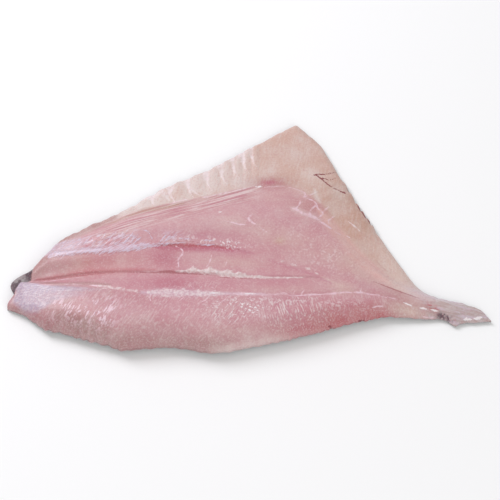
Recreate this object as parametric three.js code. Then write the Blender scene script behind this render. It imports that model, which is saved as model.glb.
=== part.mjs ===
// A raw dory fillet lying skin side down, flesh side up.
//
// Millimetres, +Z up. +X runs from the head cut to the tail, and +Y from the thick back (loin) to the thin
// belly flap. The origin is at the middle of the fillet's box, on the surface that it lies on.
//
// The fillet is one solid. Its plan is the space between two edges, the back edge and the belly edge. Its
// upper side is lofted over lines that run from head to tail: the crown of the loin, the seam left by the
// backbone, the cleft left by the pin bones, the cleft over the ribs, the crown of the upper muscle and the
// fold where the belly flap starts. The underside is flat, with a rim that lifts off the surface.

import * as THREE from "three";
import { mergeGeometries, mergeVertices } from "three/addons/utils/BufferGeometryUtils.js";

// ---------------------------------------------------------------- driving dimensions

const LENGTH = 240; // from the head cut to the tip of the tail
const HEAD_END = -LENGTH / 2;
const TAIL_END = LENGTH / 2;
const SKIN_THICKNESS = 0.9;
const BACK_EDGE_RADIUS = 8; // roundness of the loin's outer side
const BELLY_EDGE_RADIUS = 2.6; // the belly flap ends in a thin edge
const TIP_RADIUS = 1; // the edges of the two tips, and the least that is added elsewhere
const RIM_HEIGHT = 1.1; // height of the widest line of a thin edge
const LOIN_RIM_HEIGHT = 2.8; // the loin is widest further up
const UNDERSIDE_INSET = 3.2; // the underside is flat from here inwards
const COLUMNS = 128; // steps from head to tail
const MIN_ROW_GAP = 0.02; // share of the width kept between two lines of the loft

// ---------------------------------------------------------------- plan, as [x, y]

const BACK_EDGE = [
  [HEAD_END, -42], [-118.5, -44.2], [-112, -48.4], [-98.5, -56.6], [-82.5, -61.8], [-70.5, -64.4],
  [-59.5, -67.7], [-48, -66.6], [-38.5, -66.2], [-16.5, -69.2], [0.5, -66.3], [18, -62.1], [35, -57.6],
  [51, -52.8], [70, -49.5], [82.5, -49.9], [96.5, -50.1], [102, -53.7], [105, -52.3], [TAIL_END, -51.1],
];

const BELLY_EDGE = [
  [HEAD_END, -42], [-119.4, -31.3], [-117.5, -27.6], [-109, -21.6], [-102.5, -12.2], [-96, -4.6], [-87, 1],
  [-68, 10.7], [-44, 26.7], [-23, 37.2], [4, 54.2], [22.5, 66.2], [26, 67.8], [29, 65], [38.5, 54.5],
  [46, 39.4], [53, 23.8], [57, 15.7], [66, -0.6], [77, -19.9], [84, -31.2], [91, -36.8], [106.5, -41.2],
  [115, -44.6], [TAIL_END, -51.1],
];

// At the head the skin runs on past the flesh in a small flap, so the flesh has its own edge there.
const HEAD_CUT = [
  [HEAD_END, -42], [-119.4, -37], [-114, -32.3], [-109.6, -31], [-109, -22.5],
];

// ---------------------------------------------------------------- lines of the loft

// Heights along each line, at these stations between head and tail.
const STATIONS = [-118, -108, -90, -50, 0, 50, 80, 100, 119];

const LINES = {
  loinCrown: {
    path: [
      [-118, -42.5], [-108, -44], [-90, -49], [-50, -54], [0, -54], [50, -46.5], [80, -45.5], [100, -48.5],
      [119, -51],
    ],
    height: [4.2, 7.4, 11.4, 14.5, 14, 11, 6, 3.6, 1.8],
  },
  backboneSeam: {
    path: [
      [-112, -33.5], [-92, -35.3], [-77, -36.4], [-61, -39.2], [-48, -40.8], [-20, -41.4], [6, -41.6],
      [31, -41.1], [49, -38.6], [66, -39.9], [83, -44.5], [100, -48],
    ],
    height: [4.6, 7.6, 10.4, 12.6, 12.4, 9.8, 6, 4, 2],
  },
  pinBoneCleft: {
    path: [
      [-112, -31.2], [-98, -30.3], [-86, -28.8], [-74, -28], [-54, -28.4], [-35, -29], [-12, -30.4],
      [6, -31.4], [27, -31.4], [50, -34], [75, -41], [100, -47],
    ],
    height: [3.6, 5.4, 7.6, 10.4, 11, 9.8, 6, 4, 2.1],
  },
  ribCleft: {
    path: [
      [-100, -19.5], [-84, -18.3], [-60, -15.5], [-46, -13.2], [-33, -13.8], [-20, -13.6], [-12, -14.4],
      [-5, -16.3], [7, -21.3], [30, -27], [60, -33], [75, -37.5], [100, -45],
    ],
    height: [3.8, 6.2, 9.2, 10.9, 10.8, 9.6, 6, 4, 2.1],
  },
  upperCrown: {
    path: [
      [-95, -12.5], [-70, -6.5], [-50, -3.5], [0, 0], [26, -1], [46, -14], [60, -27], [75, -34.5],
      [100, -43.5],
    ],
    height: [3.6, 6, 8.6, 12, 12.8, 10.4, 6, 4.2, 2.1],
  },
  bellyFold: {
    path: [
      [-97, -9.5], [-81, -2.5], [-56, 8.5], [-25, 15.5], [3, 22.5], [17, 24], [27, 21], [37, 14],
      [49, -5.5], [61, -20], [75, -31], [100, -42],
    ],
    height: [3, 5, 6.4, 6.8, 7.2, 6.6, 4.6, 3.6, 1.9],
  },
};

// Half way between the belly fold and the edge.
const FLAP_HEIGHT = [2, 2.6, 3.4, 4.2, 4.6, 4.4, 3.4, 2.6, 1.5];

// Creases cut along lines of the loft, some with a raised lip on their belly side. A crease and its lip fade
// in and out over FADE at their two ends, and the lip slopes back into the flesh over LIP_WIDTH.
const FADE = 14;
const LIP_WIDTH = 6;
const CREASES = [
  { line: "backboneSeam", depth: 0.5, halfWidth: 1.5, lip: 0, from: -104, to: 84 },
  { line: "pinBoneCleft", depth: 0.9, halfWidth: 1, lip: 0.35, from: -112, to: 42 },
  { line: "ribCleft", depth: 0.8, halfWidth: 1.2, lip: 0.9, from: -60, to: 22 },
  { line: "bellyFold", depth: 0.4, halfWidth: 2.4, lip: 0, from: -92, to: 10 },
];

// The muscle segments of the belly flap bulge between sheets of white tissue, and scallop its edge. The sheets
// meet the edge at these x.
const SEGMENT_ENDS = [-68, -59, -50.4, -41.1, -31.6, -22.6, -14.6, -8.2, -2, 3.5, 10];
const SEGMENT_BULGE = 0.5;
const SEGMENT_SCALLOP = 0.6;

// ---------------------------------------------------------------- small helpers

const clamp = THREE.MathUtils.clamp;
const lerp = THREE.MathUtils.lerp;
const smoothstep = THREE.MathUtils.smoothstep;

// A smooth curve y(x) through points, which never swings past them.
function through(points) {
  const slopes = points.slice(1).map(([x, y], i) => (y - points[i][1]) / (x - points[i][0]));
  const tangents = points.map((_, i) => {
    const before = slopes[Math.max(i - 1, 0)];
    const after = slopes[Math.min(i, slopes.length - 1)];
    return before * after <= 0 ? 0 : (2 * before * after) / (before + after);
  });
  return (x) => {
    const last = points.length - 1;
    if (x <= points[0][0]) return points[0][1];
    if (x >= points[last][0]) return points[last][1];
    const i = points.findIndex(([end]) => end >= x) - 1;
    const [x0, y0] = points[i];
    const [x1, y1] = points[i + 1];
    const width = x1 - x0;
    const t = (x - x0) / width;
    const rise = y1 - y0;
    const start = tangents[i] * width - rise;
    const end = rise - tangents[i + 1] * width;
    return y0 + t * rise + t * (1 - t) * ((1 - t) * start + t * end);
  };
}

const overStations = (heights) => through(STATIONS.map((x, i) => [x, heights[i]]));

// 1 between from and to, and 0 a fade further out.
const between = (x, from, to, fade) => smoothstep(x, from - fade, from) * (1 - smoothstep(x, to, to + fade));

// ---------------------------------------------------------------- edges

// 0 at the two ends of each muscle segment of the belly flap, and 1 in its middle.
const segmentCount = through(SEGMENT_ENDS.map((x, i) => [x, i]));
const segmentBulge = (x) => Math.abs(Math.sin(Math.PI * segmentCount(x)));

const smoothBack = through(BACK_EDGE);
const smoothBelly = through(BELLY_EDGE);
const smoothHeadCut = through(HEAD_CUT);

// A hand-cut edge wanders a little.
const wander = (x) => (Math.sin(x * 0.83) + Math.sin(x * 0.47 + 2) + Math.sin(x * 1.31 + 4)) / 3;
const EDGE_WANDER = 0.35;
const TIP_LENGTH = 12;
const awayFromEnds = (x) => between(x, HEAD_END + TIP_LENGTH, TAIL_END - TIP_LENGTH, TIP_LENGTH);

const backEdge = (x) => smoothBack(x) + EDGE_WANDER * wander(x) * awayFromEnds(x);
const bellyEdge = (x) =>
  smoothBelly(x)
  + EDGE_WANDER * wander(x + 40) * awayFromEnds(x)
  + SEGMENT_SCALLOP * segmentBulge(x);
const headCutEnd = HEAD_CUT[HEAD_CUT.length - 1][0];
const fleshBellyEdge = (x) => (x < headCutEnd ? Math.min(smoothHeadCut(x), bellyEdge(x)) : bellyEdge(x));

// ---------------------------------------------------------------- the loft

const lineNames = Object.keys(LINES);
const curves = Object.values(LINES).map(({ path, height }) => ({
  path: through(path),
  from: path[0][0],
  to: path[path.length - 1][0],
  height: overStations(height),
}));
const flapHeight = overStations(FLAP_HEIGHT);

// Where a line crosses the width at x, as a share from the back edge to the belly edge.
function lineShare(curve, x) {
  const inside = clamp(x, curve.from, curve.to);
  return (curve.path(inside) - backEdge(inside)) / (bellyEdge(inside) - backEdge(inside));
}

// The shares of all the lines at x, in order and kept apart.
function lineShares(x) {
  const shares = [];
  curves.forEach((curve) => {
    const least = (shares.length ? shares[shares.length - 1] : 0) + MIN_ROW_GAP;
    shares.push(Math.max(lineShare(curve, x), least));
  });
  return shares;
}

// The height of the lofted flesh over the cross-section at x, as a function of the share of the width.
function crossSection(x) {
  const shares = lineShares(x);
  const points = shares.map((share, i) => [share, curves[i].height(x)]);
  const fold = points[points.length - 1];
  points.unshift([0, points[0][1] * 0.8]);
  points.push([lerp(fold[0], 1, 0.5), flapHeight(x)], [1, flapHeight(x) * 0.7]);
  return { shares, height: through(points) };
}

// How far the creases cut in at a point; a lip counts as a depth below zero.
function creaseDepth(x, y, shares) {
  const back = backEdge(x);
  const width = bellyEdge(x) - back;
  return CREASES.reduce((depth, crease) => {
    const { halfWidth, from, to } = crease;
    const across = y - back - width * shares[lineNames.indexOf(crease.line)];
    const near = Math.max(0, 1 - Math.abs(across) / halfWidth);
    const lip = smoothstep(across, 0, halfWidth) * (1 - smoothstep(across, halfWidth, LIP_WIDTH));
    return depth + (crease.depth * near - crease.lip * lip) * between(x, from + FADE, to - FADE, FADE);
  }, 0);
}

// Samples of the flesh's edge, close enough together to measure distances from.
const EDGE_STEP = 0.75;
const edgeSamples = [];
for (let x = HEAD_END; x <= TAIL_END; x += EDGE_STEP) {
  edgeSamples.push(new THREE.Vector2(x, backEdge(x)), new THREE.Vector2(x, fleshBellyEdge(x)));
}
for (let y = smoothHeadCut(headCutEnd - EDGE_STEP); y < bellyEdge(headCutEnd); y += EDGE_STEP) {
  edgeSamples.push(new THREE.Vector2(headCutEnd, y));
}

function distanceToEdge(x, y) {
  const point = new THREE.Vector2(x, y);
  return Math.sqrt(Math.min(...edgeSamples.map((sample) => sample.distanceToSquared(point))));
}

const rounding = (share) => (share >= 1 ? 1 : Math.sqrt(1 - (1 - share) ** 2));

const edgeRadius = (share) => lerp(BACK_EDGE_RADIUS, BELLY_EDGE_RADIUS, smoothstep(share, 0.25, 0.6));

// Height of the widest line of the edge, where the upper side meets the underside.
function rimHeight(x, share) {
  const loin = between(x, HEAD_END + 24, 70, 24) * (1 - smoothstep(share, 0.1, 0.4));
  return lerp(RIM_HEIGHT, LOIN_RIM_HEIGHT, loin);
}

function upperSide(x, share, section) {
  const y = lerp(backEdge(x), bellyEdge(x), share);
  const rim = rimHeight(x, share);
  if (share <= 0 || share >= 1) return rim;
  if (y >= fleshBellyEdge(x)) return rim + SKIN_THICKNESS / 2;
  const bulge = SEGMENT_BULGE * segmentBulge(x) * smoothstep(share, section.shares[5], 1);
  const flesh = section.height(share) + bulge - creaseDepth(x, y, section.shares);
  const radius = TIP_RADIUS + edgeRadius(share) * awayFromEnds(x);
  return rim + Math.max(flesh - rim, SKIN_THICKNESS / 2) * rounding(distanceToEdge(x, y) / radius);
}

// ---------------------------------------------------------------- grids

// Columns stand closer together at the head cut, where the outline turns, and at the tip of the tail.
function columnAt(step) {
  const share = step / COLUMNS;
  const eased = share - Math.sin(2 * Math.PI * share) / (2 * Math.PI);
  return lerp(HEAD_END, TAIL_END, lerp(share, eased, 0.45));
}

// Rows of the upper side at x, as shares of the width: close together at the edges and beside each crease.
const LOIN_ROWS = [0, 0.025, 0.07, 0.15, 0.26, 0.4, 0.56, 0.74]; // shares of the way to the loin's crown
const FLAP_ROWS = [0.3, 0.6, 0.82, 0.94, 1]; // shares of the way from the belly fold to the edge
function rowShares(x, shares) {
  const width = bellyEdge(x) - backEdge(x);
  const rows = LOIN_ROWS.map((share) => share * shares[0]);
  shares.forEach((share, i) => {
    const previous = shares[i - 1] ?? 0;
    const next = shares[i + 1] ?? 1;
    const crease = CREASES.find(({ line }) => line === lineNames[i]);
    const reach = (crease?.halfWidth ?? 0) / width;
    if (crease) rows.push(Math.max(share - reach, lerp(previous, share, 0.6)));
    rows.push(share);
    if (crease) rows.push(Math.min(share + reach, lerp(share, next, 0.2)));
    if (i < shares.length - 1) rows.push(lerp(share, next, 0.5));
  });
  return rows.concat(FLAP_ROWS.map((share) => lerp(shares[shares.length - 1], 1, share)));
}

// A sheet with the given rows of [y, z] at each column, made from a plane's grid. Each end closes to a point.
function sheet(rowsAt) {
  const rowCount = rowsAt(0).length;
  const geometry = new THREE.PlaneGeometry(1, 1, COLUMNS, rowCount - 1);
  const position = geometry.getAttribute("position");
  for (let column = 0; column <= COLUMNS; column += 1) {
    const x = columnAt(column);
    const isTip = column === 0 || column === COLUMNS;
    const rows = isTip ? Array(rowCount).fill([smoothBack(x), RIM_HEIGHT]) : rowsAt(x);
    rows.forEach(([y, z], row) => position.setXYZ((rowCount - 1 - row) * (COLUMNS + 1) + column, x, y, z));
  }
  return geometry;
}

function upperSheet() {
  return sheet((x) => {
    const section = crossSection(x);
    const yAt = (share) => lerp(backEdge(x), bellyEdge(x), share);
    return rowShares(x, section.shares).map((share) => [yAt(share), upperSide(x, share, section)]);
  });
}

function underside() {
  return sheet((x) => {
    const [back, belly] = [backEdge(x), bellyEdge(x)];
    const inset = Math.min(UNDERSIDE_INSET, (belly - back) / 3);
    return [[back, rimHeight(x, 0)], [back + inset, 0], [belly - inset, 0], [belly, rimHeight(x, 1)]];
  });
}

const facingDown = (geometry) => {
  const index = geometry.getIndex();
  for (let i = 0; i < index.count; i += 3) {
    const second = index.getX(i + 1);
    index.setX(i + 1, index.getX(i + 2));
    index.setX(i + 2, second);
  }
  return geometry;
};

// Joins the sheets along their shared edge, and drops the triangles that have shrunk to nothing at the tips.
function closedSolid(sheets) {
  sheets.forEach((geometry) => {
    geometry.deleteAttribute("normal");
    geometry.deleteAttribute("uv");
  });
  const merged = mergeVertices(mergeGeometries(sheets), 1e-3);
  const corners = Array.from(merged.getIndex().array);
  const kept = [];
  for (let i = 0; i < corners.length; i += 3) {
    const [a, b, c] = corners.slice(i, i + 3);
    if (a !== b && b !== c && c !== a) kept.push(a, b, c);
  }
  merged.setIndex(kept);
  merged.computeVertexNormals();
  return merged;
}

function filletGeometry() {
  const geometry = closedSolid([upperSheet(), facingDown(underside())]);
  geometry.computeBoundingBox();
  const centre = geometry.boundingBox.getCenter(new THREE.Vector3());
  return geometry.translate(-centre.x, -centre.y, -geometry.boundingBox.min.z);
}

// ---------------------------------------------------------------- the part

const RAW_FLESH = new THREE.MeshStandardMaterial({ color: 0xcb9ea2, roughness: 0.35, metalness: 0 });

const fillet = new THREE.Mesh(filletGeometry(), RAW_FLESH);
fillet.name = "dory_fillet";

const part = new THREE.Group();
part.add(fillet);

export default part;
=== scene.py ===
"""A raw dory fillet that lies skin side down on a pale floor.

The fillet is one mesh, which replaces the plain solid of the frame. Its shape is worked out in millimetres
in plan, from the same edges, lines and heights as the solid, on a finer grid and with its small relief.
X runs from the head cut to the tail, and Y from the back to the tip of the belly flap. The colours of
flesh, tissue, veins and skin are painted on its points along the lines of the anatomy, and the materials
add what is finer than the grid.
"""

import math

import bpy
import numpy as np
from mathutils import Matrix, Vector


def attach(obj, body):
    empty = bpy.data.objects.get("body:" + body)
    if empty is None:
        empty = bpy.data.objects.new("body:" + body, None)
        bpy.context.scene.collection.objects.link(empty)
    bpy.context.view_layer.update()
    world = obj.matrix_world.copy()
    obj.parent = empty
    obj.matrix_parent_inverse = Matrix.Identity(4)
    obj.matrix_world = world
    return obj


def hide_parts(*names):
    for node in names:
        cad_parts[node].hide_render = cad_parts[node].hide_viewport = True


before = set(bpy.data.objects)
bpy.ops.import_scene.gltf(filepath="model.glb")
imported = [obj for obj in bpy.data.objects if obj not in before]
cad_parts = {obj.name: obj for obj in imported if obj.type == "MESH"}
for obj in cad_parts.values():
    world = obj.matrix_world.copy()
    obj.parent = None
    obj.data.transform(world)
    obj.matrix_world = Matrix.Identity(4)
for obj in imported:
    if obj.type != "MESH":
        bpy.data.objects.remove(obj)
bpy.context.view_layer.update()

NODE = "dory_fillet"
MM = 0.001

# ---------------------------------------------------------------- driving dimensions (mm)

LENGTH = 240.0  # from the head cut to the tip of the tail
HEAD_END = -LENGTH / 2
TAIL_END = LENGTH / 2
SKIN_THICKNESS = 0.9
BACK_EDGE_RADIUS = 8.0
BELLY_EDGE_RADIUS = 2.6
TIP_RADIUS = 1.0
RIM_HEIGHT = 1.1
LOIN_RIM_HEIGHT = 2.8
LOIN_RIM_SPAN = (HEAD_END + 24, 70, 24)  # from, to and fade of the thicker rim, along x
LOIN_RIM_SHARES = (0.1, 0.4)  # shares of the width over which the thicker rim ends
ROUND_SHARES = (0.25, 0.6)  # shares over which the back's radius turns into the belly's
LOIN_EDGE_SHARE = 0.8  # the flesh's height at the back edge, as a share of that at the loin's crown
FLAP_EDGE_SHARE = 0.7  # the flap's height at the belly edge, as a share of that half way out
UNDERSIDE_INSET = 3.2  # from the edges to where the underside is flat
END_FADE = 12.0  # over which the edges lose their wander and their roundness at the two ends
HEAD_ROUNDING = 40.0  # over which the edges grow round behind the head cut
NOTCH_Y = -37.2  # the dent in the head end, between the flesh's corner and the skin
NOTCH_HALF_WIDTH = 4.0
NOTCH_DEPTH = 3.0
NOTCH_REACH = 9.0

# ---------------------------------------------------------------- the grid

COLUMNS = 480
END_CROWDING = 0.2  # how much closer together the columns are at the two ends, from 0 to 1
ROWS_BETWEEN_LINES = [24, 20, 18, 26, 26, 28, 48]
MIN_ROW_GAP = 0.02  # between two lines of the loft, as a share of the width
UNDERSIDE_ROWS = 6
UNDERSIDE_START = 20  # the column, beyond the dent, where the underside's own points start
EDGE_STEP = 0.5  # between the points of the edge that distances are measured from
RELIEF_EDGE_POWER = 40  # how close to the edges the relief of the tissue reaches

# ---------------------------------------------------------------- plan, as (x, y)

BACK_EDGE = [
    (HEAD_END, -44.2), (-118.4, -45), (-112, -47.5), (-98.5, -56.4), (-90, -58.4), (-82.5, -61),
    (-70.5, -64.2), (-59.5, -67.7), (-48, -66.6), (-38.5, -66.2), (-16.5, -69.2), (0.5, -66.3), (18, -62.1),
    (35, -57.6), (51, -52.8), (70, -49.5), (82.5, -49.9), (96.5, -50.1), (102, -53.7), (105, -52.3),
    (TAIL_END, -51.1),
]
BELLY_EDGE = [
    (HEAD_END, -44.2), (-119.8, -31.8), (-117.7, -28), (-109, -21.6), (-102.5, -12.2), (-96, -4.6),
    (-87, 1), (-68, 10.7), (-44, 26.7), (-23, 37.2), (4, 54.2), (22.5, 66.2), (26, 67.8), (29, 65),
    (38.5, 54.5), (46, 39.4), (53, 23.8), (57, 15.7), (66, -0.6), (77, -19.9), (84, -31.2), (91, -36.8),
    (106.5, -41.2), (115, -44.6), (TAIL_END, -51.1),
]
HEAD_CUT = [
    (HEAD_END, -44.2), (-119.8, -39.5), (-119.3, -36.2), (-116.2, -32.6), (-114, -30.2), (-109.6, -30),
    (-109, -22.5),
]
EDGE_WANDER = 0.35
BACK_TEARS = [(0.7, 4.6, -108, -66, 8), (0.5, 3.7, 12, 62, 6)]  # depth, length of a tooth, from, to, fade
BELLY_TEARS = [(2.0, 2.9, 51, 64, 2)]

# ---------------------------------------------------------------- lines of the loft

STATIONS = [-118, -108, -90, -50, 0, 50, 80, 100, 119]
LINES = {  # the line's points in plan, and the flesh's heights above it at the stations
    "loin_crown": ([
        (-118, -42.5), (-108, -44), (-90, -49), (-50, -54), (0, -54), (50, -46.5), (80, -45.5),
        (100, -48.5), (119, -51),
    ], [4.2, 7.4, 11.4, 14.5, 14, 11, 6, 3.6, 1.8]),
    "backbone_seam": ([
        (-112, -33.5), (-92, -35.3), (-77, -36.4), (-61, -39.2), (-48, -40.8), (-20, -41.4), (6, -41.6),
        (31, -41.1), (49, -38.6), (66, -39.9), (83, -44.5), (100, -48),
    ], [4.6, 7.6, 10.4, 12.6, 12.4, 9.8, 6, 4, 2]),
    "pin_bone_cleft": ([
        (-112, -31.2), (-98, -30.3), (-86, -28.8), (-74, -28), (-54, -28.4), (-35, -29), (-12, -30.4),
        (6, -31.4), (27, -31.4), (50, -34), (75, -41), (100, -47),
    ], [3.6, 5.4, 7.6, 10.4, 11, 9.8, 6, 4, 2.1]),
    "rib_cleft": ([
        (-100, -19.5), (-84, -18.3), (-60, -15.5), (-46, -13.2), (-33, -13.8), (-20, -13.6), (-12, -14.4),
        (-5, -16.3), (7, -21.3), (30, -27), (60, -33), (75, -37.5), (100, -45),
    ], [3.8, 6.2, 9.2, 10.9, 10.8, 9.6, 6, 4, 2.1]),
    "upper_crown": ([
        (-95, -12.5), (-70, -6.5), (-50, -3.5), (0, 0), (26, -1), (46, -14), (60, -27), (75, -34.5),
        (100, -43.5),
    ], [3.6, 6, 8.6, 12, 12.8, 10.4, 6, 4.2, 2.1]),
    "belly_fold": ([
        (-97, -9.5), (-81, -2.5), (-56, 8.5), (-25, 15.5), (3, 22.5), (17, 24), (27, 21), (37, 14),
        (49, -5.5), (61, -20), (75, -31), (100, -42),
    ], [3, 5, 6.4, 6.8, 7.2, 6.6, 4.6, 3.6, 1.9]),
}
LINE_NAMES = list(LINES)
FLAP_HEIGHT = [2, 2.6, 3.4, 4.2, 4.6, 4.4, 3.4, 2.6, 1.5]

CREASE_FADE = 14.0
LIP_WIDTH = 6.0
CREASES = [  # line, depth, half width, height of the lip on its belly side, from, to
    ("backbone_seam", 0.4, 1.5, 0.0, -104, 84),
    ("pin_bone_cleft", 0.4, 1.0, 0.3, -112, 42),
    ("rib_cleft", 0.25, 1.2, 0.3, -60, 10),
    ("belly_fold", 0.4, 2.4, 0.0, -92, 10),
]

SEGMENT_ENDS = [-84, -76, -68, -59, -50.4, -41.1, -31.6, -22, -14.6, -8.2, -3, 1.5, 6]
SEGMENT_BULGE = 0.5
SEGMENT_SCALLOP = 0.6

# ---------------------------------------------------------------- small helpers


def lerp(a, b, t):
    return a + (b - a) * t


def smoothstep(x, low, high):
    t = np.clip((x - low) / (high - low), 0, 1)
    return t * t * (3 - 2 * t)


def falling(x, low, high):
    """1 up to low, and 0 from high on."""
    return 1 - smoothstep(x, low, high)


def between(x, low, high, fade):
    """1 between low and high, and 0 a fade further out."""
    return smoothstep(x, low - fade, low) * falling(x, high, high + fade)


def through(points):
    """A smooth curve y(x) through points, which never swings past them."""
    xs, ys = np.array(points, float).T
    widths = np.diff(xs)
    slopes = np.diff(ys) / widths
    before = np.concatenate([slopes[:1], slopes])
    after = np.concatenate([slopes, slopes[-1:]])
    turns = before * after <= 0
    tangents = np.where(turns, 0, 2 * before * after / np.where(turns, 1, before + after))

    def curve(x):
        x = np.clip(x, xs[0], xs[-1])
        i = np.clip(np.searchsorted(xs, x, side="right") - 1, 0, len(widths) - 1)
        t = (x - xs[i]) / widths[i]
        rise = ys[i + 1] - ys[i]
        start = tangents[i] * widths[i] - rise
        end = rise - tangents[i + 1] * widths[i]
        return ys[i] + t * rise + t * (1 - t) * ((1 - t) * start + t * end)

    return curve


NOISE_TABLE = 97  # random values along each side of the table, which repeats


def noise(x, y, size, seed):
    """Smooth noise between -1 and 1, with bumps of about the given size."""
    table = np.random.default_rng(seed).uniform(-1, 1, (NOISE_TABLE, NOISE_TABLE))
    u, v = x / size, y / size
    i, j = np.floor(u).astype(int), np.floor(v).astype(int)
    s, t = smoothstep(u - i, 0, 1), smoothstep(v - j, 0, 1)

    def corner(a, b):
        return table[(i + a) % NOISE_TABLE, (j + b) % NOISE_TABLE]

    return lerp(lerp(corner(0, 0), corner(1, 0), s), lerp(corner(0, 1), corner(1, 1), s), t)


# ---------------------------------------------------------------- edges

smooth_back = through(BACK_EDGE)
smooth_belly = through(BELLY_EDGE)
smooth_head_cut = through(HEAD_CUT)
HEAD_CUT_END = HEAD_CUT[-1][0]
segment_count = through([(x, i) for i, x in enumerate(SEGMENT_ENDS)])


def segment_bulge(x):
    """0 at the two ends of each muscle segment of the belly flap, and 1 in its middle."""
    return np.abs(np.sin(np.pi * segment_count(x)))


def wander(x):
    return (np.sin(x * 0.83) + np.sin(x * 0.47 + 2) + np.sin(x * 1.31 + 4)) / 3


def teeth(x, length):
    """The ragged outline of a torn edge, between 0 and 1."""
    return np.abs(np.sin(np.pi * x / length + 0.8 * np.sin(x * 0.31)))


def torn_out(x, tears):
    """How far torn flesh stands out of an edge."""
    return sum(depth * teeth(x, length) * between(x, *span) for depth, length, *span in tears)


def away_from_ends(x, head_fade=END_FADE):
    return smoothstep(x, HEAD_END, HEAD_END + head_fade) * falling(x, TAIL_END - END_FADE, TAIL_END)


def back_edge(x):
    return smooth_back(x) + EDGE_WANDER * wander(x) * away_from_ends(x) - torn_out(x, BACK_TEARS)


def belly_edge(x):
    ragged = torn_out(x, BELLY_TEARS) + SEGMENT_SCALLOP * segment_bulge(x)
    return smooth_belly(x) + EDGE_WANDER * wander(x + 40) * away_from_ends(x) + ragged


def flesh_belly_edge(x):
    return np.where(x < HEAD_CUT_END, np.minimum(smooth_head_cut(x), belly_edge(x)), belly_edge(x))


# ---------------------------------------------------------------- the loft

line_curves = {name: through(path) for name, (path, _) in LINES.items()}
line_heights = [through(list(zip(STATIONS, heights))) for _, heights in LINES.values()]
flap_height = through(list(zip(STATIONS, FLAP_HEIGHT)))


def line_shares(x):
    """Where the lines cross the width at x, as shares from the back edge to the belly edge, kept apart."""
    shares = []
    least = MIN_ROW_GAP
    for name, (path, _) in LINES.items():
        inside = np.clip(x, path[0][0], path[-1][0])
        back = back_edge(inside)
        share = float((line_curves[name](inside) - back) / (belly_edge(inside) - back))
        shares.append(max(share, least))
        least = shares[-1] + MIN_ROW_GAP
    return shares


def cross_section(x, shares):
    """The height of the flesh over the cross-section at x, as a function of the share of the width."""
    points = [(share, float(height(x))) for share, height in zip(shares, line_heights)]
    flap = float(flap_height(x))
    back = (0, points[0][1] * LOIN_EDGE_SHARE)
    return through([back, *points, (lerp(shares[-1], 1, 0.5), flap), (1, flap * FLAP_EDGE_SHARE)])


def crease_depth(x, y, shares):
    """How far the creases cut into the flesh; a lip stands up, so it is a depth below zero."""
    back, belly = back_edge(x), belly_edge(x)
    depth = 0
    for name, deep, half_width, lip, start, end in CREASES:
        across = y - lerp(back, belly, shares[LINE_NAMES.index(name)])
        cut = deep * np.maximum(0, 1 - np.abs(across) / half_width)
        raised = lip * smoothstep(across, 0, half_width) * falling(across, half_width, LIP_WIDTH)
        depth = depth + (cut - raised) * between(x, start + CREASE_FADE, end - CREASE_FADE, CREASE_FADE)
    return depth


def edge_samples():
    """Points of the flesh's edge, close enough together to measure distances from."""
    xs = np.arange(HEAD_END, TAIL_END, EDGE_STEP)
    cut = np.arange(smooth_head_cut(HEAD_CUT_END - EDGE_STEP), belly_edge(HEAD_CUT_END), EDGE_STEP)
    xs_all = np.concatenate([xs, xs, np.full(len(cut), HEAD_CUT_END)])
    ys_all = np.concatenate([back_edge(xs), flesh_belly_edge(xs), cut])
    return xs_all, ys_all


def distance_to_edge(x, y, samples):
    xs, ys = samples
    return np.sqrt(np.min((x - xs) ** 2 + (y[:, None] - ys) ** 2, axis=1))


def rim_height(x, share):
    """The rim is thicker along the loin."""
    loin = between(x, *LOIN_RIM_SPAN) * falling(share, *LOIN_RIM_SHARES)
    return lerp(RIM_HEIGHT, LOIN_RIM_HEIGHT, loin)


def edge_radius(x, share):
    """The edges are rounder along the back than along the belly, and sharper at both ends."""
    radius = lerp(BACK_EDGE_RADIUS, BELLY_EDGE_RADIUS, smoothstep(share, *ROUND_SHARES))
    return TIP_RADIUS + radius * away_from_ends(x, HEAD_ROUNDING)


def upper_side(x, share, shares, samples):
    y = lerp(back_edge(x), belly_edge(x), share)
    rim = rim_height(x, share)
    bulge = SEGMENT_BULGE * segment_bulge(x) * smoothstep(share, shares[-1], 1)
    flesh = cross_section(x, shares)(share) + bulge - crease_depth(x, y, shares)
    reach = np.clip(distance_to_edge(x, y, samples) / edge_radius(x, share), 0, 1)
    height = rim + np.maximum(flesh - rim, SKIN_THICKNESS / 2) * np.sqrt(1 - (1 - reach) ** 2)
    height = np.where(y >= flesh_belly_edge(x), rim + SKIN_THICKNESS / 2, height)
    return y, np.where((share <= 0) | (share >= 1), rim, height)


# ---------------------------------------------------------------- the mesh


def row_shares(shares):
    """Shares of the width for every row, with a fixed number of rows between two lines."""
    knots = [0, *shares, 1]
    rows = [np.linspace(a, b, n, endpoint=False) for a, b, n in zip(knots, knots[1:], ROWS_BETWEEN_LINES)]
    return np.append(np.concatenate(rows), 1)


def column_at(step):
    share = step / COLUMNS
    eased = share - math.sin(2 * math.pi * share) / (2 * math.pi)
    return lerp(HEAD_END, TAIL_END, lerp(share, eased, END_CROWDING))


def upper_points():
    samples = edge_samples()
    columns = []
    for step in range(1, COLUMNS):
        x = column_at(step)
        shares = line_shares(x)
        rows = row_shares(shares)
        y, z = upper_side(x, rows, shares, samples)
        columns.append(np.stack([np.full_like(y, x), y, z, rows], axis=1))
    return np.array(columns)  # columns, rows, (x, y, z, share)


def notched(x, y):
    """The x of points once the dent in the head end is pressed in."""
    across = np.exp(-((y - NOTCH_Y) / NOTCH_HALF_WIDTH) ** 2)
    return x + NOTCH_DEPTH * across * falling(x, HEAD_END, HEAD_END + NOTCH_REACH)


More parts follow.
